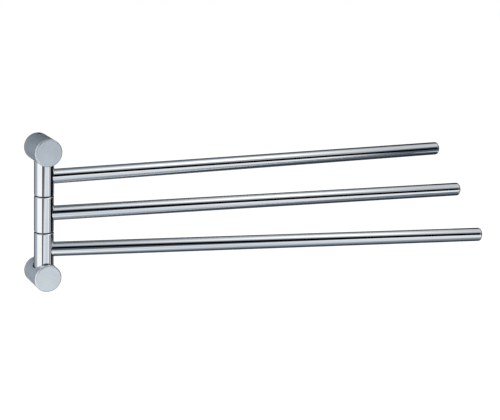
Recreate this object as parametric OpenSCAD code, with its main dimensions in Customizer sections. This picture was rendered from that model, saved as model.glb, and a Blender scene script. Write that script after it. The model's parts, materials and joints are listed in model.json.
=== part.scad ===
// Swing arm towel bar: three polished bars that turn on one upright between two round wall mounts.
// Millimetres. The origin is on the wall, midway between the mounts. +X runs along the bars,
// +Y goes into the wall and +Z is up.

/* [Bars] */
// Outside diameter of a bar
tube_d = 12; // [10:0.5:14]
// Wall thickness of a bar
tube_wall = 1; // [0.8:0.1:1.5]
// Reach of a bar, from the upright's axis to its tip
arm_reach = 392; // [200:1:600]
// Length of an end cap that shows past the tube
cap_lip = 2.4; // [2:0.1:5]
// Radius of an end cap's outer edge
cap_edge_r = 1.6; // [0.5:0.1:2]
// Length of an end cap's spigot inside the tube
cap_spigot_len = 8; // [4:0.5:20]
// Angle of the top bar out from the wall
top_angle = 0; // [0:0.05:180]
// Angle of the middle bar out from the wall
middle_angle = 5.9; // [0:0.05:180]
// Angle of the bottom bar out from the wall
bottom_angle = 12.75; // [0:0.05:180]

/* [Sleeves] */
// Outside diameter of the sleeve that carries a bar
sleeve_d = 16; // [15:0.5:18]
// Length of a sleeve
sleeve_len = 29.6; // [24:0.2:40]
// Bevel at each end of a sleeve
sleeve_bevel = 0.5; // [0.2:0.1:0.8]
// Diameter of a sleeve's bore between its bushes
sleeve_bore_d = 8.6; // [8.4:0.1:9.2]
// Depth of the seat for a bush at each end of a sleeve
bush_seat_depth = 8; // [5:0.5:9]

/* [Bushes and spindle] */
// Diameter of the spindle that the sleeves turn on
spindle_d = 8; // [7:0.1:8.2]
// Wall thickness of a bush
bush_wall = 0.95; // [0.7:0.05:1.2]
// Diameter of a bush's flange, a little under the sleeve's
flange_d = 15; // [12:0.5:15]
// Thickness of a bush's flange
flange_t = 0.35; // [0.2:0.05:0.6]
// Play between the flanges of neighbouring sleeves
flange_play = 0.1; // [0.05:0.05:0.3]
// Thickness of the plain washer under the sleeves
thrust_washer_t = 0.6; // [0.5:0.1:1]
// Thickness of the wave washer's strip
wave_strip_t = 0.2; // [0.1:0.05:0.25]
// Waves round the wave washer
wave_count = 3; // [2:1:5]

/* [Wall mounts] */
// Diameter of a wall mount
mount_d = 22.6; // [21.6:0.1:26]
// Length of a wall mount, from the wall to its face
mount_len = 29; // [28:0.5:40]
// Radius of the rounded edge round a mount's face
mount_edge_r = 1.2; // [0.4:0.1:1.6]
// Wall of the mount round the cavity at its back
mount_wall = 2.8; // [1.8:0.1:4]
// Distance of the upright's axis from the wall
post_to_wall = 17; // [16.5:0.1:18]
// Depth of the pocket that the end sleeve dips into
pocket_depth = 5.3; // [4:0.1:6]
// Gap round the sleeve in its pocket
pocket_gap = 0.7; // [0.4:0.1:0.8]
// Depth of the spindle's hole past the pocket's floor
spindle_hole_depth = 10.8; // [9:0.1:12]

/* [Wall brackets] */
// Thickness of a bracket
bracket_t = 7; // [6.6:0.1:7]
// Diameter of the hole for the wall screw
wall_screw_hole_d = 4.5; // [4:0.1:5.5]
// Diameter of the countersink for the wall screw's head
wall_screw_head_d = 8.6; // [7:0.1:10]
// Distance from the wall to the bracket's groove
groove_to_wall = 5.2; // [4.6:0.1:5.4]
// Depth of the groove
groove_depth = 1; // [0.6:0.1:1.2]

/* [Hidden] */
$fn = 96;

// Clearances and the overrun of a cut
seat_gap = 0.05;
running_gap = 0.05;
bracket_gap = 0.1;
bracket_face_gap = 0.2;
overrun = 1;

// Grub screws: diameter, socket across its flats, and the flat that one bears on
bracket_grub_d = 3;
bracket_grub_socket = 1.5;
spindle_grub_d = 4;
spindle_grub_socket = 2;
spindle_grub_len = 5;
spindle_flat_depth = 0.4;
spindle_flat_len = 7;
grub_socket_depth = 1.6;
grub_recess = 0.3;
grub_hole_bevel = 0.25;
point_share = 0.4;

// Root plug of a bar
stud_d = 6;
stud_wall_share = 0.9;
plug_len = 14;
spindle_bevel = 0.6;
spindle_end_gap = 0.4;
cap_back_bevel = 0.15;
mount_back_bevel = 0.5;
wave_steps = 48;

// The stack along the upright, counted from the middle bar
seam = 2 * flange_t + flange_play;
pitch = sleeve_len + seam;
stack_end = 1.5 * pitch - seam / 2 + flange_t;
pocket_floor_z = stack_end + running_gap + thrust_washer_t;
mount_z = pocket_floor_z - pocket_depth + mount_d / 2;
spindle_end_z = pocket_floor_z + spindle_hole_depth - spindle_end_gap;
LEVEL_Z = [pitch, 0, -pitch];
ANGLES = [top_angle, middle_angle, bottom_angle];
TOP = 0;
MIDDLE = 1;
BOTTOM = 2;

// Radii and depths that follow from the sizes above
sleeve_r = sleeve_d / 2;
tube_r = tube_d / 2;
tube_bore_r = tube_r - tube_wall;
mount_r = mount_d / 2;
bush_bore_r = spindle_d / 2 + running_gap;
bush_r = bush_bore_r + bush_wall;
seat_r = bush_r + seat_gap;
pocket_r = sleeve_r + pocket_gap;
cavity_r = mount_r - mount_wall;
bracket_r = cavity_r - bracket_gap;
cavity_depth = bracket_t + bracket_face_gap;
spindle_hole_r = spindle_d / 2 + seat_gap;
tube_end_x = arm_reach - cap_lip;
stud_start_x = sleeve_r - stud_wall_share * (sleeve_r - sleeve_bore_d / 2);
groove_bottom_r = bracket_r - groove_depth;
spindle_flat_y = spindle_d / 2 - spindle_flat_depth;

// Turns a piece that is drawn along +Z so that it points out of the wall, on the upper mount's axis
module out_of_wall() {
    translate([0, 0, mount_z])
        rotate([90, 0, 0])
            children();
}

// Puts a piece drawn about the sleeve's centre, with its bar along +X, at its place on the upright
module at_level(level) {
    translate([0, -post_to_wall, LEVEL_Z[level]])
        rotate([0, 0, -ANGLES[level]])
            children();
}

// Lays a piece that is drawn along +Z along the bar
module along_bar() {
    rotate([0, 90, 0])
        children();
}

// The lower mount and what is in it are the upper ones turned over
module turned_over() {
    mirror([0, 0, 1])
        children();
}

// Rod with both ends bevelled, centred on the origin
module bevelled_rod(r, h, bevel) {
    rotate_extrude()
        polygon([
            [0, -h / 2], [r - bevel, -h / 2], [r, -h / 2 + bevel],
            [r, h / 2 - bevel], [r - bevel, h / 2], [0, h / 2]
        ]);
}

// Solid turned blank of a mount, from the wall up, with a rounded edge round its face
module mount_blank() {
    face_r = mount_r - mount_edge_r;
    side_len = mount_len - mount_edge_r;
    rotate_extrude() {
        polygon([
            [0, 0], [mount_r - mount_back_bevel, 0], [mount_r, mount_back_bevel],
            [mount_r, side_len], [face_r, side_len], [face_r, mount_len], [0, mount_len]
        ]);
        translate([face_r, side_len])
            intersection() {
                circle(r = mount_edge_r);
                square(mount_edge_r);
            }
    }
}

// Wall mount: a turned cylinder, hollowed at the back for its bracket, with a pocket for the end
// sleeve, a blind hole for the spindle and two tapped holes
module mount() {
    grub_r = bracket_grub_d / 2 + seat_gap;
    color("lightslategray")
        difference() {
            out_of_wall() mount_blank();
            out_of_wall()
                translate([0, 0, -overrun])
                    cylinder(r = cavity_r, h = cavity_depth + overrun);
            translate([0, -post_to_wall, mount_z - mount_r - overrun])
                cylinder(r = pocket_r, h = pocket_depth + overrun);
            translate([0, -post_to_wall, pocket_floor_z - overrun])
                cylinder(r = spindle_hole_r, h = spindle_hole_depth + overrun);
            translate([0, -groove_to_wall, mount_z])
                cylinder(r = grub_r, h = mount_r + overrun);
            translate([0, -groove_to_wall, mount_z + mount_r - grub_hole_bevel])
                cylinder(r1 = grub_r, r2 = grub_r + overrun, h = overrun);
            out_of_wall()
                cylinder(r = spindle_grub_d / 2 + seat_gap, h = post_to_wall);
        }
}

// Round bracket that the wall screw holds: countersunk hole, and a V groove for the grub screw
module wall_bracket() {
    sink_depth = (wall_screw_head_d - wall_screw_hole_d) / 2;
    color("darkgoldenrod")
        out_of_wall()
            difference() {
                rotate_extrude()
                    polygon([
                        [0, 0], [bracket_r, 0], [bracket_r, groove_to_wall - groove_depth],
                        [groove_bottom_r, groove_to_wall],
                        [bracket_r, groove_to_wall + groove_depth],
                        [bracket_r, bracket_t], [0, bracket_t]
                    ]);
                translate([0, 0, -overrun])
                    cylinder(d = wall_screw_hole_d, h = bracket_t + 2 * overrun);
                translate([0, 0, bracket_t - sink_depth])
                    cylinder(
                        r1 = wall_screw_hole_d / 2,
                        r2 = wall_screw_head_d / 2 + overrun,
                        h = sink_depth + overrun
                    );
            }
}

// Grub screw from its point at the origin up to its socket end
module grub_screw(d, len, socket) {
    point = d * point_share;
    color("dimgray")
        difference() {
            rotate_extrude()
                polygon([[0, 0], [d / 2 - point, 0], [d / 2, point], [d / 2, len], [0, len]]);
            translate([0, 0, len - grub_socket_depth])
                cylinder(d = socket / cos(30), h = grub_socket_depth + overrun, $fn = 6);
        }
}

// Grub screw at the top of the mount, pressing into the bracket's groove
module bracket_grub_screw() {
    tip_z = mount_z + groove_bottom_r + groove_depth / 2;
    translate([0, -groove_to_wall, tip_z])
        grub_screw(bracket_grub_d, mount_z + mount_r - grub_recess - tip_z, bracket_grub_socket);
}

// Grub screw inside the mount, driven from the back onto the spindle's flat
module spindle_grub_screw() {
    tip_y = -post_to_wall + spindle_flat_y + seat_gap;
    translate([0, tip_y, mount_z])
        rotate([-90, 0, 0])
            grub_screw(spindle_grub_d, spindle_grub_len, spindle_grub_socket);
}

// Spindle: one plain rod through all the sleeves, with a flat at each end for its grub screw
module spindle() {
    color("silver")
        translate([0, -post_to_wall, 0])
            difference() {
                bevelled_rod(spindle_d / 2, 2 * spindle_end_z, spindle_bevel);
                for (side = [-1, 1])
                    translate([-spindle_d / 2, spindle_flat_y, side * mount_z - spindle_flat_len / 2])
                        cube([spindle_d, spindle_d, spindle_flat_len]);
            }
}

// Plain washer on the floor of the lower pocket
module thrust_washer() {
    color("silver")
        translate([0, -post_to_wall, -pocket_floor_z])
            difference() {
                cylinder(d = flange_d, h = thrust_washer_t);
                translate([0, 0, -overrun])
                    cylinder(r = spindle_hole_r + seat_gap, h = thrust_washer_t + 2 * overrun);
            }
}

// Wave washer between the top sleeve and the upper pocket: a flat ring bent into even waves
module wave_washer() {
    inner_r = spindle_hole_r + seat_gap;
    outer_r = flange_d / 2;
    low_z = stack_end + running_gap;
    swing_z = (thrust_washer_t - seat_gap - wave_strip_t) / 2;
    function wave_z(step) = low_z + swing_z * (1 + cos(360 * wave_count * step / wave_steps));
    function ring_point(r, step, z) =
        [r * cos(360 * step / wave_steps), r * sin(360 * step / wave_steps), z];
    corners = [
        for (step = [0 : wave_steps - 1])
            let (z = wave_z(step))
                each [
                    ring_point(inner_r, step, z), ring_point(outer_r, step, z),
                    ring_point(outer_r, step, z + wave_strip_t),
                    ring_point(inner_r, step, z + wave_strip_t)
                ]
    ];
    faces = [
        for (step = [0 : wave_steps - 1], side = [0 : 3])
            let (
                here = 4 * step,
                next = 4 * ((step + 1) % wave_steps),
                turn = (side + 1) % 4
            )
                each [
                    [here + side, next + side, here + turn],
                    [here + turn, next + side, next + turn]
                ]
    ];
    color("silver")
        translate([0, -post_to_wall, 0])
            polyhedron(points = corners, faces = faces);
}

// Sleeve that turns on the spindle: bevelled ends, a seat for a bush in each end, and a radial
// hole for the bar's stud
module sleeve() {
    half = sleeve_len / 2;
    bore_r = sleeve_bore_d / 2;
    seat_z = half - bush_seat_depth;
    color("gainsboro")
        difference() {
            rotate_extrude()
                polygon([
                    [bore_r, -seat_z], [seat_r, -seat_z], [seat_r, -half],
                    [sleeve_r - sleeve_bevel, -half], [sleeve_r, -half + sleeve_bevel],
                    [sleeve_r, half - sleeve_bevel], [sleeve_r - sleeve_bevel, half],
                    [seat_r, half], [seat_r, seat_z], [bore_r, seat_z]
                ]);
            along_bar()
                cylinder(r = stud_d / 2 + seat_gap, h = sleeve_d);
        }
}

// Flanged bush in the upper end of a sleeve
module bush() {
    half = sleeve_len / 2;
    foot_z = half - bush_seat_depth + 2 * seat_gap;
    color("darkslategray")
        rotate_extrude()
            polygon([
                [bush_bore_r, foot_z], [bush_r, foot_z], [bush_r, half],
                [flange_d / 2, half], [flange_d / 2, half + flange_t],
                [bush_bore_r, half + flange_t]
            ]);
}

// What the sleeve's round side leaves of a piece that butts against it
module coped() {
    difference() {
        children();
        cylinder(r = sleeve_r + seat_gap, h = 2 * tube_d, center = true);
    }
}

// Bar: a thin tube, its root cut to the saddle shape of the sleeve
module tube() {
    color("gainsboro")
        coped()
            along_bar()
                difference() {
                    cylinder(r = tube_r, h = tube_end_x - seat_gap);
                    translate([0, 0, -overrun])
                        cylinder(r = tube_bore_r, h = tube_end_x + 2 * overrun);
                }
}

// Root plug: fills the root of the tube and reaches through the sleeve's wall with its stud
module root_plug() {
    color("darkgoldenrod") {
        coped()
            along_bar()
                cylinder(r = tube_bore_r - seat_gap, h = sleeve_r + plug_len);
        along_bar()
            translate([0, 0, stud_start_x])
                cylinder(d = stud_d, h = sleeve_r + plug_len / 2 - stud_start_x);
    }
}

// End cap: a round-edged lip that closes the tube, with a spigot inside it
module end_cap() {
    flat_r = tube_r - cap_edge_r;
    color("gainsboro")
        translate([tube_end_x, 0, 0])
            along_bar()
                rotate_extrude() {
                    polygon([
                        [0, -cap_spigot_len], [tube_bore_r - seat_gap, -cap_spigot_len],
                        [tube_bore_r - seat_gap, 0], [tube_r - cap_back_bevel, 0],
                        [tube_r, cap_back_bevel], [tube_r, cap_lip - cap_edge_r],
                        [flat_r, cap_lip - cap_edge_r], [flat_r, cap_lip], [0, cap_lip]
                    ]);
                    translate([flat_r, cap_lip - cap_edge_r])
                        intersection() {
                            circle(r = cap_edge_r);
                            square(cap_edge_r);
                        }
                }
}

mount();  // upper_mount
turned_over() mount();  // lower_mount
wall_bracket();  // upper_wall_bracket
turned_over() wall_bracket();  // lower_wall_bracket
bracket_grub_screw();  // upper_bracket_grub_screw
turned_over() bracket_grub_screw();  // lower_bracket_grub_screw
spindle_grub_screw();  // upper_spindle_grub_screw
turned_over() spindle_grub_screw();  // lower_spindle_grub_screw
spindle();
wave_washer();
thrust_washer();
at_level(TOP) sleeve();  // top_sleeve
at_level(TOP) bush();  // top_upper_bush
at_level(TOP) turned_over() bush();  // top_lower_bush
at_level(TOP) tube();  // top_tube
at_level(TOP) root_plug();  // top_root_plug
at_level(TOP) end_cap();  // top_end_cap
at_level(MIDDLE) sleeve();  // middle_sleeve
at_level(MIDDLE) bush();  // middle_upper_bush
at_level(MIDDLE) turned_over() bush();  // middle_lower_bush
at_level(MIDDLE) tube();  // middle_tube
at_level(MIDDLE) root_plug();  // middle_root_plug
at_level(MIDDLE) end_cap();  // middle_end_cap
at_level(BOTTOM) sleeve();  // bottom_sleeve
at_level(BOTTOM) bush();  // bottom_upper_bush
at_level(BOTTOM) turned_over() bush();  // bottom_lower_bush
at_level(BOTTOM) tube();  // bottom_tube
at_level(BOTTOM) root_plug();  // bottom_root_plug
at_level(BOTTOM) end_cap();  // bottom_end_cap
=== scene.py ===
# %% [markdown]
# A swing arm towel bar has three polished bars that turn on one upright between two round wall
# mounts. This notebook dresses its CAD model: the shapes that show are made again as smooth meshes,
# every surface gets a material, and a small studio lights the whole. First the CAD model is loaded.
# It is the fixed frame that each new piece has to fit, and it brings the bodies that move.

# %% Load the CAD model
import json
import math
import bpy
import bmesh
from mathutils import Matrix, Vector


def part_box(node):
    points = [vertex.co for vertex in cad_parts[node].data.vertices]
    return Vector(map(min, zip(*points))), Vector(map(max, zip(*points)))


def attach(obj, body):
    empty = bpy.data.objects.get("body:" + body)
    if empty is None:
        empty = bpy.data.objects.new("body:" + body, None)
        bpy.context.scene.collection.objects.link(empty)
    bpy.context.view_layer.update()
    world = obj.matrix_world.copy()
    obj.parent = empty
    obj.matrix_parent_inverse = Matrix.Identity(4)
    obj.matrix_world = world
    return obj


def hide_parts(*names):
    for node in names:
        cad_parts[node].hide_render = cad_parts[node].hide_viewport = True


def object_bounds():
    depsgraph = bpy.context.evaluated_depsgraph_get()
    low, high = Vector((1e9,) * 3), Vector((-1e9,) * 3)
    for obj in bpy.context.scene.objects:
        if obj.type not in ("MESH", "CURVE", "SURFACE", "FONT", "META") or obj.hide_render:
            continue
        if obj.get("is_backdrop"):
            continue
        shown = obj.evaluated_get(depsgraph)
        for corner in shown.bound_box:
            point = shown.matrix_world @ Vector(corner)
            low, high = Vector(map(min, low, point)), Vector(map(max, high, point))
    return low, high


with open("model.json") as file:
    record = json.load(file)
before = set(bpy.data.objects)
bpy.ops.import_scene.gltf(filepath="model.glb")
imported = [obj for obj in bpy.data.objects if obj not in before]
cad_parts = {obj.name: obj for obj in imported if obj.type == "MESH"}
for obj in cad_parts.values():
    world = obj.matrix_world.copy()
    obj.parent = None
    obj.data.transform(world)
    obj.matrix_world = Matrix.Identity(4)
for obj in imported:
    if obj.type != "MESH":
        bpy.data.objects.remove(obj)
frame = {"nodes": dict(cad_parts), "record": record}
cad_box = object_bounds()

# %% [markdown]
# The camera comes first, because every later choice is judged through it. Its place and its turn
# were fitted to the outlines of the bars and the mounts, so a piece that has its real size also
# has its place in the picture. A long lens from about a metre away keeps the bars nearly parallel.

# %% Camera
MM = 0.001
LENS_MM = 83.08
CAMERA_PLACE_MM = (-294.0, -879.8, 257.2)
CAMERA_YAW, CAMERA_PITCH, CAMERA_ROLL = (math.radians(a) for a in (-29.318, -15.314, -2.975))


def camera_turn():
    """Turn of the camera: its own X is to the right, its Y up, and it looks along its -Z."""
    turn = (
        Matrix.Rotation(CAMERA_YAW, 3, "Z")
        @ Matrix.Rotation(CAMERA_PITCH, 3, "X")
        @ Matrix.Rotation(CAMERA_ROLL, 3, "Y")
    )
    right, ahead, up = (turn.col[k].copy() for k in range(3))
    return Matrix((right, up, -ahead)).transposed().to_4x4()


camera = bpy.data.objects.new("camera", bpy.data.cameras.new("camera"))
camera.data.lens = LENS_MM
camera.matrix_world = Matrix.Translation(Vector(CAMERA_PLACE_MM) * MM) @ camera_turn()
bpy.context.scene.collection.objects.link(camera)
bpy.context.scene.camera = camera
print(f"camera {camera.location.length:.2f} m from the origin, lens {LENS_MM} mm")

# %% [markdown]
# The sizes come from the CAD model. All the arms are alike and only differ in their height on the
# upright and in the angle at which they stand out from the wall. The origin is on the wall, midway
# between the mounts, with X along the bars, Y into the wall and Z up.

# %% Where the arms and the mounts are
POST_TO_WALL = 17.0
ARMS = {"top": (30.4, 0.0), "middle": (0.0, 5.9), "bottom": (-30.4, 12.75)}
MOUNTS = {"upper": 1, "lower": -1}
MOUNT_HEIGHT = 52.2


def arm_place(arm):
    """Matrix that takes a piece made round the sleeve's centre, its bar along X, to its arm."""
    height, angle = ARMS[arm]
    lift = Matrix.Translation(Vector((0, -POST_TO_WALL, height)) * MM)
    return lift @ Matrix.Rotation(-math.radians(angle), 4, "Z")


def mount_place(side):
    """Matrix that takes a piece turned about Z, its foot at zero, out of the wall at a mount."""
    lift = Matrix.Translation(Vector((0, 0, side * MOUNT_HEIGHT)) * MM)
    return lift @ Matrix.Rotation(math.radians(90), 4, "X")


for arm, (height, angle) in ARMS.items():
    low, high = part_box(f"{arm}_sleeve")
    print(f"{arm} arm at {height:+.1f} mm, CAD has it at {(low.z + high.z) / 2 / MM:+.1f} mm")

# %% [markdown]
# Most pieces of this object are turned on a lathe, so one helper does what a lathe does: it takes
# the outline of half a section and carries it once round an axis. Real edges are never quite
# sharp, and on polished metal the thin line of light along an edge is what makes it look solid. So
# two more helpers shape an outline's corners: one draws the full round edge of a cap or a mount,
# and one eases every other corner with a small arc. Smooth shading then averages the normals where
# a long straight face meets such an arc. That would bend every reflection along the whole length of
# a bar, so the normals are weighted by area: the long faces stay true and only the arcs bend.

# %% The lathe
SIDES = 160
EASE_STEPS = 3
EDGE_SHARE = 0.45
NEARLY_STRAIGHT = math.radians(175)
SHARP_ANGLE = math.radians(28)


def round_edge(radius, top, edge, steps):
    """Points of a quarter circle from the side at that radius round to the face at that height."""
    turns = [math.pi / 2 * step / steps for step in range(steps + 1)]
    return [
        (radius - edge + edge * math.cos(turn), top - edge + edge * math.sin(turn)) for turn in turns
    ]


def eased(outline, radius):
    """The closed outline with an arc of up to that radius at each corner that is off the axis."""
    points = []
    for k, (r, z) in enumerate(outline):
        here = Vector((r, z))
        back = Vector(outline[k - 1]) - here
        on = Vector(outline[(k + 1) % len(outline)]) - here
        corner = back.angle(on)
        reach = min(
            radius / math.tan(corner / 2), back.length * EDGE_SHARE, on.length * EDGE_SHARE
        )
        if r <= 0 or corner > NEARLY_STRAIGHT:
            points.append((r, z))
            continue
        start = here + back.normalized() * reach
        end = here + on.normalized() * reach
        for step in range(EASE_STEPS + 1):
            t = step / EASE_STEPS
            point = start * (1 - t) ** 2 + here * 2 * t * (1 - t) + end * t**2
            points.append(tuple(point))
    return points


def turned_mesh(name, outline, sides=SIDES):
    """Mesh of a closed outline, in millimetres, carried round the Z axis."""
    bm = bmesh.new()
    rings = []
    for r, z in outline:
        if r <= 0:
            rings.append([bm.verts.new((0, 0, z * MM))])
            continue
        turns = [2 * math.pi * k / sides for k in range(sides)]
        rings.append([
            bm.verts.new((r * MM * math.cos(a), r * MM * math.sin(a), z * MM)) for a in turns
        ])
    for k, ring in enumerate(rings):
        following = rings[(k + 1) % len(rings)]
        for i in range(sides):
            j = (i + 1) % sides
            corners = [ring[i % len(ring)], ring[j % len(ring)]]
            corners += [following[j % len(following)], following[i % len(following)]]
            corners = list(dict.fromkeys(corners))
            if len(corners) > 2:
                bm.faces.new(corners)
    bmesh.ops.recalc_face_normals(bm, faces=bm.faces)
    mesh = bpy.data.meshes.new(name)
    bm.to_mesh(mesh)
    bm.free()
    return mesh


def placed(name, mesh, place):
    """Puts a mesh at its place and makes it an object."""
    mesh.transform(place)
    piece = bpy.data.objects.new(name, mesh)
    bpy.context.scene.collection.objects.link(piece)
    return piece


def applied(piece):
    """Replaces a piece's mesh by what its modifiers make of it."""
    depsgraph = bpy.context.evaluated_depsgraph_get()
    piece.data = bpy.data.meshes.new_from_object(
        piece.evaluated_get(depsgraph), preserve_all_data_layers=True, depsgraph=depsgraph
    )
    piece.modifiers.clear()
    return piece


def shaded(piece):
    """Smooths a piece up to its real edges, with the normals led by the large faces."""
    piece.data.shade_smooth()
    piece.data.set_sharp_from_angle(angle=SHARP_ANGLE)
    lead = piece.modifiers.new("large faces lead", "WEIGHTED_NORMAL")
    lead.keep_sharp = True
    return applied(piece)


print(f"lathe ready, {SIDES} sides")

# %% [markdown]
# A sleeve is a short polished cylinder that turns on the spindle and carries one bar. Its ends are
# bevelled, which makes the dark seams on the upright, and each end is bored out for a bush. It is
# turned from its section, as the real one is turned from bar stock.

# %% Sleeves
SLEEVE_RADIUS = 8.0
SLEEVE_HALF = 14.8
SLEEVE_BEVEL = 0.5
SLEEVE_BORE_RADIUS = 4.3
BUSH_SEAT_RADIUS = 5.05
BUSH_SEAT_DEPTH = 8.0
BUSH_SEAT_HEIGHT = SLEEVE_HALF - BUSH_SEAT_DEPTH
CHROME_EASE = 0.1

sleeve_outline = [
    (SLEEVE_BORE_RADIUS, -BUSH_SEAT_HEIGHT),
    (BUSH_SEAT_RADIUS, -BUSH_SEAT_HEIGHT),
    (BUSH_SEAT_RADIUS, -SLEEVE_HALF),
    (SLEEVE_RADIUS - SLEEVE_BEVEL, -SLEEVE_HALF),
    (SLEEVE_RADIUS, -SLEEVE_HALF + SLEEVE_BEVEL),
    (SLEEVE_RADIUS, SLEEVE_HALF - SLEEVE_BEVEL),
    (SLEEVE_RADIUS - SLEEVE_BEVEL, SLEEVE_HALF),
    (BUSH_SEAT_RADIUS, SLEEVE_HALF),
    (BUSH_SEAT_RADIUS, BUSH_SEAT_HEIGHT),
    (SLEEVE_BORE_RADIUS, BUSH_SEAT_HEIGHT),
]
pieces = {}
for arm in ARMS:
    mesh = turned_mesh(f"{arm}_sleeve_chrome", eased(sleeve_outline, CHROME_EASE))
    pieces[f"{arm}_sleeve"] = shaded(placed(mesh.name, mesh, arm_place(arm)))
print(f"{len(ARMS)} sleeves of {len(mesh.polygons)} faces")

# %% [markdown]
# A bar is a thin tube whose root is cut to a saddle, so that it closes on the round sleeve. That is
# a rule and not a drawing: a point of the root that lies y to the side meets the sleeve at the
# square root of R squared less y squared. Geometry Nodes state such a rule once, with the sizes as
# inputs. The wall's long thin section is carried round a circle, and the root's end of it is then
# pushed out onto the sleeve.

# %% Node tree of a bar
MEET_GAP = 0.05
SECTION_EASE_COUNT = 4


def add_node(tree, kind, settings=(), **inputs):
    """A node with its settings, and with each named input linked to a socket or set to a value."""
    node = tree.nodes.new(kind)
    for key, value in dict(settings).items():
        setattr(node, key, value)
    for key, value in inputs.items():
        wanted = key.replace("_", " ")
        socket = next(s for s in node.inputs if s.name == wanted and s.enabled and not s.is_linked)
        if isinstance(value, bpy.types.NodeSocket):
            tree.links.new(value, socket)
        else:
            socket.default_value = value
    return node


def add_math(tree, operation, *values):
    """A Math node's result."""
    node = tree.nodes.new("ShaderNodeMath")
    node.operation = operation
    for socket, value in zip(node.inputs, values):
        if isinstance(value, bpy.types.NodeSocket):
            tree.links.new(value, socket)
        else:
            socket.default_value = value
    return node.outputs[0]


def bar_tree():
    """Geometry Nodes: a tube along X, centred on the origin's upright, its root cut to a saddle."""
    tree = bpy.data.node_groups.new("coped bar", "GeometryNodeTree")
    tree.interface.new_socket("Geometry", in_out="OUTPUT", socket_type="NodeSocketGeometry")
    for name in ("Tip", "Radius", "Wall", "Sleeve Radius", "Edge Radius"):
        tree.interface.new_socket(name, in_out="INPUT", socket_type="NodeSocketFloat")
    tree.interface.new_socket("Sides", in_out="INPUT", socket_type="NodeSocketInt")
    size = tree.nodes.new("NodeGroupInput").outputs

    section = add_node(
        tree, "GeometryNodeCurvePrimitiveQuadrilateral", Width=size["Wall"], Height=size["Tip"]
    )
    eased_section = add_node(
        tree, "GeometryNodeFilletCurve", {"mode": "POLY"},
        Curve=section.outputs[0], Radius=size["Edge Radius"], Count=SECTION_EASE_COUNT,
    )
    half_wall = add_math(tree, "MULTIPLY", size["Wall"], 0.5)
    middle_radius = add_math(tree, "SUBTRACT", size["Radius"], half_wall)
    ring = add_node(
        tree, "GeometryNodeCurvePrimitiveCircle", Resolution=size["Sides"], Radius=middle_radius
    )
    swept = add_node(
        tree, "GeometryNodeCurveToMesh", Curve=ring.outputs[0], Profile_Curve=eased_section.outputs[0]
    )
    here = tree.nodes.new("GeometryNodeInputPosition")
    parts = add_node(tree, "ShaderNodeSeparateXYZ", Vector=here.outputs[0])
    half_length = add_math(tree, "MULTIPLY", size["Tip"], 0.5)
    along = add_math(tree, "ADD", parts.outputs["Z"], half_length)
    side, rise = parts.outputs["Y"], parts.outputs["X"]
    saddle = add_math(
        tree, "SQRT",
        add_math(
            tree, "SUBTRACT",
            add_math(tree, "POWER", size["Sleeve Radius"], 2.0),
            add_math(tree, "POWER", side, 2.0),
        ),
    )
    at_root = add_math(tree, "LESS_THAN", along, half_length)
    cut = add_math(tree, "ADD", along, add_math(tree, "MULTIPLY", saddle, at_root))
    moved = add_node(tree, "ShaderNodeCombineXYZ", X=cut, Y=side, Z=rise)
    coped = add_node(
        tree, "GeometryNodeSetPosition", Geometry=swept.outputs[0], Position=moved.outputs[0]
    )
    outward = add_node(tree, "GeometryNodeFlipFaces", Mesh=coped.outputs[0])
    tree.links.new(outward.outputs[0], tree.nodes.new("NodeGroupOutput").inputs[0])
    return tree


bar_nodes = bar_tree()
print(f"bar tree with {len(bar_nodes.nodes)} nodes")

# %% [markdown]
# A modifier gives the tree its sizes through the sockets' identifiers. The result is then copied
# into a plain mesh, one for each bar, because each bar moves with a body of its own and the model
# is exported without modifiers.

# %% Bars
TUBE_RADIUS = 6.0
TUBE_WALL = 1.0
TUBE_TIP = 389.55
TUBE_EDGE_EASE = 0.12
TUBE_SIDES = 144


def tree_mesh(name, tree, values):
    """Plain mesh of what a node tree makes with these values for its named inputs."""
    maker = bpy.data.objects.new("maker", bpy.data.meshes.new("nothing yet"))
    bpy.context.scene.collection.objects.link(maker)
    modifier = maker.modifiers.new("tree", "NODES")
    modifier.node_group = tree
    for item in tree.interface.items_tree:
        if item.name in values:
            modifier[item.identifier] = values[item.name]
    result = bpy.data.meshes.new_from_object(
        maker.evaluated_get(bpy.context.evaluated_depsgraph_get())
    )
    result.name = name
    bpy.data.objects.remove(maker)
    return result


bar_sizes = {
    "Tip": TUBE_TIP * MM,
    "Radius": TUBE_RADIUS * MM,
    "Wall": TUBE_WALL * MM,
    "Sleeve Radius": (SLEEVE_RADIUS + MEET_GAP) * MM,
    "Edge Radius": TUBE_EDGE_EASE * MM,
    "Sides": TUBE_SIDES,
}
for arm in ARMS:
    mesh = tree_mesh(f"{arm}_bar_chrome", bar_nodes, bar_sizes)
    pieces[f"{arm}_tube"] = shaded(placed(mesh.name, mesh, arm_place(arm)))
print(f"{len(ARMS)} bars of {len(mesh.polygons)} faces, {TUBE_TIP:.0f} mm from the upright's axis")

# %% [markdown]
# A cap closes each bar's tip: a spigot inside the tube and a round-edged lip outside it, with a
# fine seam between. The lip's face is a little crowned, as pressed and polished caps are, so that it
# catches a gradient instead of one flat tone. Tip and crown stay within the CAD model's reach.

# %% End caps
CAP_PLACE = 389.6
CAP_LIP = 2.4
CAP_EDGE = 1.6
CAP_CROWN = 0.12
CAP_SPIGOT = 8.0
CAP_SPIGOT_RADIUS = 4.95
CAP_BACK_BEVEL = 0.15
CAP_STEPS = 10

cap_outline = [
    (0, -CAP_SPIGOT),
    (CAP_SPIGOT_RADIUS, -CAP_SPIGOT),
    (CAP_SPIGOT_RADIUS, 0),
    (TUBE_RADIUS - CAP_BACK_BEVEL, 0),
    (TUBE_RADIUS, CAP_BACK_BEVEL),
    *round_edge(TUBE_RADIUS, CAP_LIP - CAP_CROWN, CAP_EDGE, CAP_STEPS),
]
for step in range(1, CAP_STEPS + 1):
    share = 1 - step / CAP_STEPS
    cap_outline.append(((TUBE_RADIUS - CAP_EDGE) * share, CAP_LIP - CAP_CROWN * share**2))

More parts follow.
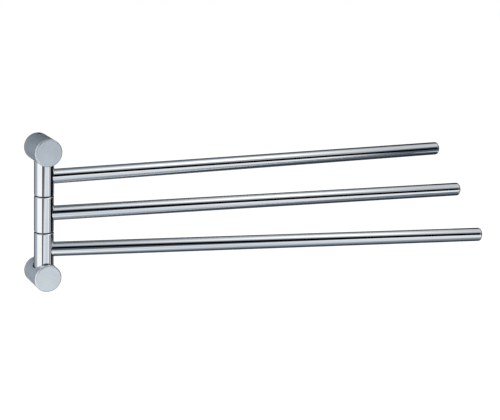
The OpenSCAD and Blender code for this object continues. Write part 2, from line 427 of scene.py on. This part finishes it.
to_tip = Matrix.Translation((CAP_PLACE * MM, 0, 0)) @ Matrix.Rotation(math.radians(90), 4, "Y")
for arm in ARMS:
    mesh = turned_mesh(f"{arm}_cap_chrome", cap_outline, TUBE_SIDES)
    pieces[f"{arm}_end_cap"] = shaded(placed(mesh.name, mesh, arm_place(arm) @ to_tip))
print(f"{len(ARMS)} caps, tip at {CAP_PLACE + CAP_LIP:.0f} mm")

# %% [markdown]
# A wall mount is a turned cylinder with things cut into it: a pocket from the side for the end of
# the upright, a cavity at the back for the wall bracket, a blind hole for the spindle and two cross
# holes for grub screws. Cutting is what booleans are for. The blank is turned with many sides, so
# that the cut edges stay smooth, and each cutter has its countersink modelled on it. The edge round
# the face is a full quarter circle, which shows in the photograph as a narrow ring of its own tone.

# %% Blank of a mount
MOUNT_RADIUS = 11.3
MOUNT_LENGTH = 29.0
MOUNT_EDGE = 1.2
MOUNT_BACK_BEVEL = 0.5
MOUNT_EDGE_STEPS = 20
MOUNT_SIDES = 288
SATIN_EASE = 0.12

mount_outline = [
    (0, 0),
    (MOUNT_RADIUS - MOUNT_BACK_BEVEL, 0),
    (MOUNT_RADIUS, MOUNT_BACK_BEVEL),
    *round_edge(MOUNT_RADIUS, MOUNT_LENGTH, MOUNT_EDGE, MOUNT_EDGE_STEPS),
    (0, MOUNT_LENGTH),
]


def turned_piece(name, outline, place, sides=SIDES):
    """A turned mesh as an object at its place."""
    return placed(name, turned_mesh(name, outline, sides), place)


print(f"blank {2 * MOUNT_RADIUS:.1f} mm across and {MOUNT_LENGTH:.0f} mm long")

# %% [markdown]
# The pocket's mouth lies on a round surface, so its edge is not a flat ring: it rises at the sides.
# Its cutter follows that edge. At each turn round the pocket it starts to flare just inside the
# surface, which leaves a small chamfer of even width all the way round. A boolean also hands the
# cutter's material slots on to the faces that it cuts, so the insides of the pocket and of the small
# hole for the bracket's grub screw go in a second slot here. Further down, that slot gets a dull
# finish whose dark tone is painted shade, for the shadow down in the pocket and the hole.

# %% Cutters of a mount
POCKET_RADIUS = 8.7
POCKET_FLOOR = 46.2
POCKET_CHAMFER = 0.25
FLARE = 3.0
CUT_SIDES = 192
CAVITY_RADIUS = 8.5
CAVITY_DEPTH = 7.2
CAVITY_BEVEL = 0.2
SPINDLE_HOLE_RADIUS = 4.05
SPINDLE_HOLE_TOP = 57.0
GRUB_TO_WALL = 5.2
GRUB_HOLE_RADIUS = 1.55
GRUB_HOLE_BEVEL = 0.25
SPINDLE_GRUB_HOLE_RADIUS = 2.05
HOLE_SIDES = 96
SMALL_HOLE_SIDES = 64
OVERRUN = 1
OUTSIDE_SLOT, INSIDE_SLOT = 0, 1


def pocket_cutter(side):
    """Cutter of the pocket, flared where it leaves the mount's round surface."""
    bm = bmesh.new()
    rings = []
    steps = ((POCKET_RADIUS, None), (POCKET_RADIUS, 0.0), (POCKET_RADIUS + FLARE, FLARE))
    for radius, drop in steps:
        ring = []
        for k in range(CUT_SIDES):
            turn = 2 * math.pi * k / CUT_SIDES
            edge_x = POCKET_RADIUS * math.cos(turn)
            edge = MOUNT_HEIGHT - math.sqrt(MOUNT_RADIUS**2 - edge_x**2)
            height = POCKET_FLOOR if drop is None else edge + POCKET_CHAMFER - drop
            x, y = radius * math.cos(turn), -POST_TO_WALL + radius * math.sin(turn)
            ring.append(bm.verts.new(Vector((x, y, side * height)) * MM))
        rings.append(ring)
    for upper, lower in zip(rings, rings[1:]):
        for k in range(CUT_SIDES):
            j = (k + 1) % CUT_SIDES
            bm.faces.new((upper[k], upper[j], lower[j], lower[k]))
    bm.faces.new(rings[0])
    lowest = MOUNT_HEIGHT - MOUNT_RADIUS - FLARE
    middle = bm.verts.new(Vector((0, -POST_TO_WALL, side * lowest)) * MM)
    for k in range(CUT_SIDES):
        bm.faces.new((rings[-1][k], rings[-1][(k + 1) % CUT_SIDES], middle))
    bmesh.ops.recalc_face_normals(bm, faces=bm.faces)
    mesh = bpy.data.meshes.new("pocket cutter")
    bm.to_mesh(mesh)
    bm.free()
    return placed(mesh.name, mesh, Matrix.Identity(4))


def mount_cutters(side):
    """Every cutter of the mount on that side of the middle."""
    cavity = [
        (0, -OVERRUN),
        (CAVITY_RADIUS + OVERRUN + CAVITY_BEVEL, -OVERRUN),
        (CAVITY_RADIUS, CAVITY_BEVEL),
        (CAVITY_RADIUS, CAVITY_DEPTH),
        (0, CAVITY_DEPTH),
    ]
    spindle_grub = [
        (0, CAVITY_DEPTH - OVERRUN),
        (SPINDLE_GRUB_HOLE_RADIUS, CAVITY_DEPTH - OVERRUN),
        (SPINDLE_GRUB_HOLE_RADIUS, POST_TO_WALL),
        (0, POST_TO_WALL),
    ]
    spindle_hole = [
        (0, POCKET_FLOOR - OVERRUN),
        (SPINDLE_HOLE_RADIUS, POCKET_FLOOR - OVERRUN),
        (SPINDLE_HOLE_RADIUS, SPINDLE_HOLE_TOP),
        (0, SPINDLE_HOLE_TOP),
    ]
    top = MOUNT_HEIGHT + MOUNT_RADIUS
    grub = [
        (0, MOUNT_HEIGHT),
        (GRUB_HOLE_RADIUS, MOUNT_HEIGHT),
        (GRUB_HOLE_RADIUS, top - GRUB_HOLE_BEVEL),
        (GRUB_HOLE_RADIUS + GRUB_HOLE_BEVEL + OVERRUN, top + OVERRUN),
        (0, top + OVERRUN),
    ]
    upright = Matrix.Translation((0, -POST_TO_WALL * MM, 0))
    over_bracket = Matrix.Translation((0, -GRUB_TO_WALL * MM, 0))
    turned_over = Matrix.Rotation(0 if side > 0 else math.pi, 4, "Y")
    pocket = pocket_cutter(side)
    grub_cutter = turned_piece("bracket grub cutter", grub, over_bracket @ turned_over, HOLE_SIDES)
    # These faces later get a dull tone that is painted dark as shade.
    for cutter in (pocket, grub_cutter):
        for face in cutter.data.polygons:
            face.material_index = INSIDE_SLOT
    return [
        pocket,
        turned_piece("cavity cutter", cavity, mount_place(side), CUT_SIDES),
        turned_piece("spindle grub cutter", spindle_grub, mount_place(side), SMALL_HOLE_SIDES),
        turned_piece("spindle hole cutter", spindle_hole, upright @ turned_over, HOLE_SIDES),
        grub_cutter,
    ]


print("five cutters for each mount")

# %% Cut the mounts


def cut(piece, cutters):
    """Takes all the cutters out of a piece in one go and leaves one plain mesh of two slots."""
    together = bpy.data.collections.new("cutters")
    for shape in (piece, *cutters):
        for _ in (OUTSIDE_SLOT, INSIDE_SLOT):
            shape.data.materials.append(None)
    for cutter in cutters:
        together.objects.link(cutter)
    boolean = piece.modifiers.new("cut", "BOOLEAN")
    boolean.operation = "DIFFERENCE"
    boolean.solver = "EXACT"
    boolean.operand_type = "COLLECTION"
    boolean.collection = together
    applied(piece)
    for cutter in cutters:
        bpy.data.objects.remove(cutter)
    bpy.data.collections.remove(together)
    return shaded(piece)


for mount, side in MOUNTS.items():
    blank = turned_piece(
        f"{mount}_mount_satin", eased(mount_outline, SATIN_EASE), mount_place(side), MOUNT_SIDES
    )
    pieces[f"{mount}_mount"] = cut(blank, mount_cutters(side))
    inside = sum(face.material_index == INSIDE_SLOT for face in blank.data.polygons)
    print(f"{mount} mount: {len(blank.data.polygons)} faces after cutting, {inside} of them inside")

# %% [markdown]
# Now each new piece takes over from its CAD node. It rides on the same body, so it moves with the
# joint, and it hides the node that it stands for. What is held inside or shows only through a gap
# keeps its CAD shape and gets a material further down.

# %% Ride and replace
bodies = frame["record"]["behaviour"]["bodies"]
node_body = {node: body for body, nodes in bodies.items() for node in nodes}
for node, piece in pieces.items():
    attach(piece, node_body[node])
    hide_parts(node)
    low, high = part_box(node)
    corners = [vertex.co for vertex in piece.data.vertices]
    off = max(
        max(abs(min(c[k] for c in corners) - low[k]), abs(max(c[k] for c in corners) - high[k]))
        for k in range(3)
    )
    print(f"{piece.name} on {node_body[node]}, box off by {off / MM:.2f} mm")

# %% [markdown]
# Several finishes share the same effects, so each effect is a node group that is built once. Marks
# of hands and cloths make a polish uneven in large soft patches. Grain is the fine texture of a
# blasted or moulded surface. Turning marks are the rings that a tool leaves round a turned piece.
# Each group takes its sizes in millimetres and gives a plain value between nought and one.

# %% Shader groups
PIT_SIZE = 2.2
PIT_SHARE = 0.3
GROOVE_SHARE = 0.25


def shader_group(name, inputs, outputs):
    """A shader node group with its named inputs and outputs."""
    tree = bpy.data.node_groups.new(name, "ShaderNodeTree")
    for socket_name, value in inputs.items():
        kind = "NodeSocketVector" if value is None else "NodeSocketFloat"
        socket = tree.interface.new_socket(socket_name, in_out="INPUT", socket_type=kind)
        if value is not None:
            socket.default_value = value
    for socket_name in outputs:
        tree.interface.new_socket(socket_name, in_out="OUTPUT", socket_type="NodeSocketFloat")
    return tree, tree.nodes.new("NodeGroupInput").outputs, tree.nodes.new("NodeGroupOutput").inputs


def per_metre(tree, size_mm):
    """Noise scale for a feature of that size in millimetres."""
    return add_math(tree, "DIVIDE", 1 / MM, size_mm)


def marks_group():
    """Soft patches left by hands and cloths."""
    tree, given, out = shader_group(
        "hand marks", {"Place": None, "Mark Size": 15.0, "Sharpness": 0.5}, ["Marks"]
    )
    noise = add_node(
        tree, "ShaderNodeTexNoise", Vector=given["Place"], Scale=per_metre(tree, given["Mark Size"]),
        Detail=4.0, Roughness=0.55, Distortion=0.6,
    )
    low = add_math(tree, "MULTIPLY", given["Sharpness"], 0.5)
    spread = add_node(
        tree, "ShaderNodeMapRange", {"interpolation_type": "SMOOTHSTEP"},
        Value=noise.outputs[0], From_Min=low, From_Max=add_math(tree, "SUBTRACT", 1.0, low),
    )
    tree.links.new(spread.outputs[0], out["Marks"])
    return tree


def grain_group():
    """Fine even grain with a few coarser pits in it."""
    tree, given, out = shader_group("grain", {"Place": None, "Grain Size": 0.3}, ["Height"])
    fine = add_node(
        tree, "ShaderNodeTexNoise", Vector=given["Place"], Scale=per_metre(tree, given["Grain Size"]),
        Detail=3.0, Roughness=0.6,
    )
    coarse = add_node(
        tree, "ShaderNodeTexVoronoi", {"feature": "SMOOTH_F1"}, Vector=given["Place"],
        Scale=per_metre(tree, add_math(tree, "MULTIPLY", given["Grain Size"], PIT_SIZE)),
        Smoothness=0.8,
    )
    height = add_math(
        tree, "ADD", add_math(tree, "MULTIPLY", fine.outputs[0], 1 - PIT_SHARE),
        add_math(tree, "MULTIPLY", coarse.outputs["Distance"], PIT_SHARE),
    )
    tree.links.new(height, out["Height"])
    return tree


def rings_group():
    """Rings left by a turning tool round the Z axis of its place, on round sides and faces alike."""
    tree, given, out = shader_group("turning marks", {"Place": None, "Feed": 0.15}, ["Height"])
    parts = add_node(tree, "ShaderNodeSeparateXYZ", Vector=given["Place"])
    squares = [add_math(tree, "POWER", parts.outputs[axis], 2.0) for axis in ("X", "Y")]
    radius = add_math(tree, "SQRT", add_math(tree, "ADD", *squares))
    travel = add_math(tree, "ADD", radius, parts.outputs["Z"])
    turns = add_math(tree, "MULTIPLY", travel, per_metre(tree, given["Feed"]))
    groove = add_math(tree, "SINE", add_math(tree, "MULTIPLY", turns, 2 * math.pi))
    uneven = add_node(
        tree, "ShaderNodeTexNoise", {"noise_dimensions": "1D"}, W=turns, Scale=0.37, Detail=3.0
    )
    height = add_math(
        tree, "ADD", add_math(tree, "MULTIPLY", groove, GROOVE_SHARE),
        add_math(tree, "MULTIPLY", uneven.outputs[0], 1 - GROOVE_SHARE),
    )
    tree.links.new(height, out["Height"])
    return tree


marks, grain, rings = marks_group(), grain_group(), rings_group()
print("groups:", ", ".join(tree.name for tree in (marks, grain, rings)))

# %% [markdown]
# A finish is a Principled shader with the groups placed in it. Its one-valued settings, such as how
# metallic it is, are typed on the shader, and only what changes over the surface is linked. A
# helper wires one finish from a few plain words: two tones that the marks mix, the roughness
# between which they wander, and the height and size of its texture.

# %% Finish helper


def place_node(tree, place):
    """Object coordinates, turned so that a piece made round the Z axis at that place lies on it."""
    coordinates = tree.nodes.new("ShaderNodeTexCoord").outputs["Object"]
    back = place.inverted()
    return add_node(
        tree, "ShaderNodeMapping", Vector=coordinates, Location=tuple(back.translation),
        Rotation=tuple(back.to_euler("XYZ")),
    ).outputs[0]


def finish(name, tones, roughness, texture, texture_sizes, relief_mm, mark_size, metallic=1.0,
           place=None, specular=0.5):
    """Material whose tone and roughness wander with the marks and whose texture is a bump."""
    material = bpy.data.materials.new(name)
    material.use_nodes = True
    tree = material.node_tree
    shader = tree.nodes["Principled BSDF"]
    shader.inputs["Metallic"].default_value = metallic
    shader.inputs["Specular IOR Level"].default_value = specular
    at = place_node(tree, place or Matrix.Identity(4))
    marked = add_node(tree, "ShaderNodeGroup", {"node_tree": marks}, Place=at, Mark_Size=mark_size)
    surface = add_node(tree, "ShaderNodeGroup", {"node_tree": texture}, Place=at, **texture_sizes)
    tone = add_node(
        tree, "ShaderNodeMix", {"data_type": "RGBA"}, Factor=marked.outputs["Marks"],
        A=(*tones[0], 1.0), B=(*tones[1], 1.0),
    )
    tree.links.new(next(s for s in tone.outputs if s.enabled), shader.inputs["Base Color"])
    wander = add_node(
        tree, "ShaderNodeMapRange", Value=marked.outputs["Marks"], To_Min=roughness[0],
        To_Max=roughness[1],
    )
    tree.links.new(wander.outputs[0], shader.inputs["Roughness"])
    relief = add_node(
        tree, "ShaderNodeBump", Height=surface.outputs["Height"], Distance=relief_mm * MM, Strength=1.0
    )
    tree.links.new(relief.outputs[0], shader.inputs["Normal"])
    return material


print("finish helper ready")

# %% [markdown]
# The bars, caps and sleeves are chrome over a fine polish, so they are almost a mirror, and only
# soft faint patches show that hands have touched them. The mounts are satin chrome: the same plating
# over a blasted surface, whose fine grain spreads every reflection. The upper mount's tone is painted
# a little darker than the lower one's: that is painted shade, for the less light that reaches it. The
# bushes are moulded nylon, and the bought-in steel and brass pieces keep the rings that the lathe
# left on them.

# %% Chrome and nylon
polished = finish(
    "polished_chrome", tones=((0.90, 0.915, 0.93), (0.865, 0.885, 0.905)), roughness=(0.03, 0.075),
    texture=grain, texture_sizes={"Grain_Size": 0.7}, relief_mm=0.0003, mark_size=18.0,
)
nylon = finish(
    "black_nylon", tones=((0.010, 0.011, 0.012), (0.017, 0.018, 0.020)), roughness=(0.50, 0.62),
    texture=grain, texture_sizes={"Grain_Size": 0.2}, relief_mm=0.006, mark_size=6.0, metallic=0.0,
    specular=0.25,
)
# Lit and shaded copies of one satin. The upper tones are painted darker as shade and the lower ones
# lighter as light, for how the studio light falls on each mount.
SATIN_LIT_AND_SHADED_TONES = {
    "upper": ((0.81, 0.86, 0.90), (0.785, 0.833, 0.873)),
    "lower": ((0.95, 0.99, 1.0), (0.92, 0.96, 0.985)),
}
for mount, side in MOUNTS.items():
    pieces[f"{mount}_mount"].data.materials[OUTSIDE_SLOT] = finish(
        f"{mount}_satin_chrome", tones=SATIN_LIT_AND_SHADED_TONES[mount], roughness=(0.42, 0.49), texture=grain,
        texture_sizes={"Grain_Size": 0.22}, relief_mm=0.008, mark_size=22.0, place=mount_place(side),
    )
for node, piece in pieces.items():
    if not node.endswith("_mount"):
        piece.data.materials.clear()
        piece.data.materials.append(polished)
print("polished chrome, satin chrome and nylon made")

# %% [markdown]
# A turned piece needs the place of its own axis, or its rings would run askew. The same matrices
# that put the sleeves and mounts in place therefore turn the texture of the spindle, the brackets,
# the grub screws and the plugs. The pockets were bored too. Plating hardly reaches into them and
# blasting does not, so their walls are dull; their near-black tone is painted shade, which stands in
# for the shadow down in the pockets and the holes.

# %% Turned steel and brass
STEEL = ((0.60, 0.59, 0.57), (0.52, 0.51, 0.495))
BRASS = ((0.80, 0.60, 0.30), (0.66, 0.47, 0.22))
# Dull bored metal, its tones painted near black as shade for the shadow down in the pockets and holes.
DULL_WITH_PAINTED_SHADE = ((0.055, 0.056, 0.06), (0.03, 0.031, 0.034))
SPINDLE_ROUGHNESS = (0.18, 0.28)
SCREW_ROUGHNESS = (0.25, 0.36)
BRASS_ROUGHNESS = (0.22, 0.34)
BORED_ROUGHNESS = (0.40, 0.52)


def turned_finish(name, tones, roughness, place):
    """Metal with the rings of the lathe round the axis of its place."""
    return finish(
        name, tones, roughness, texture=rings, texture_sizes={"Feed": 0.16}, relief_mm=0.004,
        mark_size=7.0, place=place,
    )


upright_axis = Matrix.Translation((0, -POST_TO_WALL * MM, 0))
grub_axis = Matrix.Translation((0, -GRUB_TO_WALL * MM, 0))
along_bar = Matrix.Rotation(math.radians(90), 4, "Y")
spindle_steel = turned_finish("spindle_steel", STEEL, SPINDLE_ROUGHNESS, upright_axis)
cad_finish = {"spindle": spindle_steel, "wave_washer": spindle_steel, "thrust_washer": spindle_steel}
bracket_grub_steel = turned_finish("bracket_grub_steel", STEEL, SCREW_ROUGHNESS, grub_axis)
# The walls of the pockets and holes: dull metal with painted shade in its tone.
bored_pocket_painted_shade = turned_finish("bored_pocket_painted_shade", DULL_WITH_PAINTED_SHADE, BORED_ROUGHNESS, upright_axis)
for mount, side in MOUNTS.items():
    pieces[f"{mount}_mount"].data.materials[INSIDE_SLOT] = bored_pocket_painted_shade
    cad_finish[f"{mount}_bracket_grub_screw"] = bracket_grub_steel
    cad_finish[f"{mount}_spindle_grub_screw"] = turned_finish(
        f"{mount}_grub_steel", STEEL, SCREW_ROUGHNESS, mount_place(side)
    )
    cad_finish[f"{mount}_wall_bracket"] = turned_finish(
        f"{mount}_bracket_brass", BRASS, BRASS_ROUGHNESS, mount_place(side)
    )
for arm in ARMS:
    cad_finish[f"{arm}_upper_bush"] = cad_finish[f"{arm}_lower_bush"] = nylon
    cad_finish[f"{arm}_root_plug"] = turned_finish(
        f"{arm}_plug_brass", BRASS, BRASS_ROUGHNESS, arm_place(arm) @ along_bar
    )
for node, material in cad_finish.items():
    mesh = frame["nodes"][node].data
    mesh.materials.clear()
    mesh.materials.append(material)
left = set(frame["nodes"]) - set(cad_finish) - set(pieces)
print(f"{len(cad_finish)} CAD nodes finished, {len(left)} left")

# %% [markdown]
# The set is a plain pale floor under a white sky, so the object stands on white. What a camera or a
# mirror sees of both is lifted to full white through Light Path, while the floor keeps its own grey
# shade for the light that falls on the object, and its shadow. The floor has no underside, so a view
# from below looks through it.

# %% Floor, sky and lamp
SKY_LIGHT = 0.75
FLOOR_HEIGHT = -1.31
FLOOR_SIZE = 24.0
FLOOR_TONE = 0.9
FLOOR_LIFT = 0.4
LAMP_SIZE = 1.6, 1.2
LAMP_POWER = 9.0
LAMP_PLACE = (0.05, -0.7, 1.1)
AIM = Vector((0.15, 0, 0))
X_AXIS, Y_AXIS, Z_AXIS = Vector((1, 0, 0)), Vector((0, 1, 0)), Vector((0, 0, 1))


def seen_directly(tree):
    """One for the rays of a camera, a mirror or glass, nought for the rest."""
    path = tree.nodes.new("ShaderNodeLightPath")
    rays = [path.outputs[f"Is {kind} Ray"] for kind in ("Camera", "Glossy", "Transmission")]
    return add_math(tree, "MAXIMUM", rays[0], add_math(tree, "MAXIMUM", rays[1], rays[2]))


def flat_panel(name, centre, across, along, width, height):
    """A four-cornered panel with a UV map, round a centre and along two directions."""
    mesh = bpy.data.meshes.new(name)
    corners = [(-0.5, -0.5), (0.5, -0.5), (0.5, 0.5), (-0.5, 0.5)]
    points = [centre + across * (width * u) + along * (height * v) for u, v in corners]
    mesh.from_pydata(points, [], [(0, 1, 2, 3)])
    layer = mesh.uv_layers.new(name="UVMap")
    for loop, (u, v) in zip(layer.data, corners):
        loop.uv = (u + 0.5, v + 0.5)
    panel = bpy.data.objects.new(name, mesh)
    bpy.context.scene.collection.objects.link(panel)
    panel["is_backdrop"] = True
    return panel


world = bpy.data.worlds.new("white sky")
bpy.context.scene.world = world
world.use_nodes = True
sky = world.node_tree
background = sky.nodes["Background"]
background.inputs["Color"].default_value = (1, 1, 1, 1)
lift = add_math(sky, "MULTIPLY", seen_directly(sky), 1 - SKY_LIGHT)
sky.links.new(add_math(sky, "ADD", lift, SKY_LIGHT), background.inputs["Strength"])

floor = flat_panel(
    "floor", Vector((0, 0, FLOOR_HEIGHT)), X_AXIS, Y_AXIS, FLOOR_SIZE, FLOOR_SIZE
)
pale = bpy.data.materials.new("pale_floor")
pale.use_nodes = True
tree = pale.node_tree
tree.nodes.remove(tree.nodes["Principled BSDF"])
matt = add_node(tree, "ShaderNodeBsdfDiffuse", Color=(FLOOR_TONE, FLOOR_TONE, FLOOR_TONE, 1.0))
glow = add_node(
    tree, "ShaderNodeEmission", Strength=add_math(tree, "MULTIPLY", seen_directly(tree), FLOOR_LIFT)
)
both = tree.nodes.new("ShaderNodeAddShader")
tree.links.new(matt.outputs[0], both.inputs[0])
tree.links.new(glow.outputs[0], both.inputs[1])
one_sided = tree.nodes.new("ShaderNodeMixShader")
tree.links.new(tree.nodes.new("ShaderNodeNewGeometry").outputs["Backfacing"], one_sided.inputs[0])
tree.links.new(both.outputs[0], one_sided.inputs[1])
tree.links.new(tree.nodes.new("ShaderNodeBsdfTransparent").outputs[0], one_sided.inputs[2])
tree.links.new(one_sided.outputs[0], tree.nodes["Material Output"].inputs["Surface"])
floor.data.materials.append(pale)

lamp = bpy.data.objects.new("soft lamp", bpy.data.lights.new("soft lamp", "AREA"))
lamp.data.shape = "RECTANGLE"
lamp.data.size, lamp.data.size_y = LAMP_SIZE
lamp.data.energy = LAMP_POWER
lamp.location = LAMP_PLACE
lamp.rotation_euler = (AIM - lamp.location).to_track_quat("-Z", "Y").to_euler()
lamp.visible_glossy = False
bpy.context.scene.collection.objects.link(lamp)
bpy.context.scene.view_settings.view_transform = "Standard"
print("white set and one soft lamp")

# %% [markdown]
# Polished metal has no look of its own: it shows its surroundings. So a photographer builds those
# round it out of light panels, grey walls and black flags. Here each is a flat card that only a
# mirror can see. It lights nothing, throws no shadow and hides nothing from the camera. A card's
# tone changes along its two directions through two colour ramps, and it fades out at its edges. The
# greys of the photograph turn cooler as they get darker, so one rule gives every tone its colour.

# %% Card helper
COOLNESS = 0.09


def tone_ramp(tree, share, tones):
    """Ramp through evenly spaced tones."""
    ramp = tree.nodes.new("ShaderNodeValToRGB")
    tree.links.new(share, ramp.inputs["Fac"])
    elements = ramp.color_ramp.elements
    for between in range(1, len(tones) - 1):
        elements.new(between / (len(tones) - 1))
    for k, element in enumerate(elements):
        tone = tones[min(k, len(tones) - 1)]
        element.color = (tone, tone, tone, 1.0)
    return ramp.outputs["Color"]


def edge_fade(tree, share, soft):
    """One inside a card, sinking to nought over the soft share at both of its edges."""
    to_edge = add_math(tree, "MINIMUM", share, add_math(tree, "SUBTRACT", 1.0, share))
    fade = add_node(
        tree, "ShaderNodeMapRange", {"interpolation_type": "SMOOTHSTEP"}, Value=to_edge, From_Max=soft
    )
    return fade.outputs[0]


def cool_colour(tree, tone, coolness):
    """The colour of a tone: white stays white, and the deeper a grey the cooler it is."""
    red, blue = (add_math(tree, "POWER", tone, power) for power in (1 + coolness, 1 - coolness))
    return add_node(tree, "ShaderNodeCombineColor", Red=red, Green=tone, Blue=blue).outputs[0]


def card(name, centre, across, along, width, height, tones_across=(1.0,), tones_along=(1.0,),
         soft=0.02, coolness=COOLNESS):
    """A flat card that only mirrors see, with its tone along both directions."""
    panel = flat_panel(name, centre, across, along, width, height)
    panel.visible_camera = panel.visible_diffuse = panel.visible_shadow = False
    panel.visible_transmission = panel.visible_volume_scatter = False
    material = bpy.data.materials.new(name)
    material.use_nodes = True
    tree = material.node_tree
    tree.nodes.remove(tree.nodes["Principled BSDF"])
    uv = add_node(tree, "ShaderNodeSeparateXYZ", Vector=tree.nodes.new("ShaderNodeUVMap").outputs[0])
    shares = uv.outputs["X"], uv.outputs["Y"]
    ramps = [tone_ramp(tree, share, tones) for share, tones in zip(shares, (tones_across, tones_along))]
    fades = [
        edge_fade(tree, share, soft * min(width, height) / length)
        for share, length in zip(shares, (width, height))
    ]
    tone = add_math(tree, "MULTIPLY", *ramps)
    light = add_node(tree, "ShaderNodeEmission", Color=cool_colour(tree, tone, coolness))
    cover = add_node(tree, "ShaderNodeMixShader", Fac=add_math(tree, "MULTIPLY", *fades))
    tree.links.new(tree.nodes.new("ShaderNodeBsdfTransparent").outputs[0], cover.inputs[1])
    tree.links.new(light.outputs[0], cover.inputs[2])
    tree.links.new(cover.outputs[0], tree.nodes["Material Output"].inputs["Surface"])
    panel.data.materials.append(material)


def aimed_card(name, azimuth, elevation, distance, width, height, slant=0.0, **looks):
    """A card that faces the bars from a direction in degrees: azimuth 0 in front, 90 to the right.

    Its upper and lower edges rise to the right by the slant, and its ends stay upright.
    """
    a, e, s = (math.radians(angle) for angle in (azimuth, elevation, slant))
    away = Vector((math.sin(a) * math.cos(e), -math.cos(a) * math.cos(e), math.sin(e)))
    right = (-away).cross(Z_AXIS).normalized()
    up = right.cross(-away)
    across = right * math.cos(s) + up * math.sin(s)
    card(name, AIM + away * distance, across, up, width, height, **looks)


print("cards ready")

# %% [markdown]
# A tent of grey walls comes first, then the lights and the flags inside it. The broad light over the
# bars fades towards the back and towards both ends of them, and a gauze hung lower down takes some
# of it off the bars' tips. The long black flag, tilted across the front, draws the dark line along
# each bar, the narrow one the dark line down the upright, and the slate card underneath darkens the
# bars' lower sides.

# %% Tent, lights and flags
FLAG_ACROSS = Vector((-0.5, 0.866, 0.0))
TENT_HEIGHT = 2.6
TENT_WIDTH = 3.9
TENT_DEPTH = 3.1

card(
    "wall behind", Vector((0.3, 1.5, 0.0)), X_AXIS, Z_AXIS, TENT_WIDTH, TENT_HEIGHT,
    tones_across=(0.49, 0.077, 0.01, 0.01),
)
card(
    "wall left", Vector((-1.35, 0.0, 0.0)), Y_AXIS, Z_AXIS, TENT_DEPTH, TENT_HEIGHT,
    tones_across=(0.763, 0.36), coolness=0.13,
)
card(
    "wall right", Vector((2.2, 0.0, 0.0)), Y_AXIS, Z_AXIS, TENT_DEPTH, TENT_HEIGHT,
    tones_across=(0.9,),
)
card(
    "wall in front", Vector((0.3, -1.5, 0.0)), X_AXIS, Z_AXIS, TENT_WIDTH, TENT_HEIGHT,
    tones_across=(0.121,),
)
card(
    "ceiling", Vector((0.4, 0.0, 1.0)), X_AXIS, Y_AXIS, width=3.8, height=3.2,
    tones_across=(0.563, 0.02),
)
aimed_card(
    "light left", azimuth=-71.7, elevation=0, distance=1.25, width=1.378, height=2.2,
    tones_across=(1.015,), soft=0.087,
)
card(
    "light over the bars", Vector((0.624, -0.379, 0.9)), X_AXIS, Y_AXIS, width=1.916, height=2.576,
    tones_across=(0.227, 0.578, 1.259, 1.085, 0.635),
    tones_along=(1.526, 0.254, 0.367, 1.245, 0.724, 0.09, 0.15), soft=0.1,
)
card(
    "gauze over the ends", Vector((0.589, -0.136, 0.341)), X_AXIS, Y_AXIS, width=0.464, height=0.702,
    tones_across=(0.607,), soft=0.46,
)
card(
    "slate underneath", Vector((0.241, -0.034, -0.4)), X_AXIS, Y_AXIS, width=1.287, height=1.158,
    tones_across=(2.734, 0.821, 0.104), tones_along=(0.929, 0.037, 0.372), soft=0.1,
)
card(
    "flag right", Vector((1.014, -0.233, 0.106)), FLAG_ACROSS, Z_AXIS, width=1.582, height=1.483,
    tones_across=(0.002,), soft=0.2,
)
aimed_card(
    "light in front", azimuth=4.3, elevation=-22.3, distance=1.1, width=2.025, height=1.119,
    slant=29.3, tones_across=(0.734, 0.777, 1.2), tones_along=(0.921, 0.803, 1.297), soft=0.2,
    coolness=0.22,
)
aimed_card(
    "long flag", azimuth=2.3, elevation=27.0, distance=1.0, width=2.374, height=0.653,
    slant=-21.1, tones_across=(0.001,), soft=0.12,
)
aimed_card(
    "narrow flag", azimuth=-41.3, elevation=-10, distance=1.0, width=0.247, height=1.4,
    tones_across=(0.087,), soft=0.5,
)

# %% [markdown]
# Last, the box of the dressed model is put beside the box of the CAD model, and the dressed one is
# printed. They should agree to a fraction of a millimetre, because nothing here is allowed to stand out
# of the real object.

# %% The sizes side by side
boxes = {
    name: [list(corner) for corner in box] for name, box in (("cad", cad_box), ("visual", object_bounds()))
}
low, high = ([round(v, 4) for v in corner] for corner in boxes["visual"])
print("visual box from", low, "to", high)
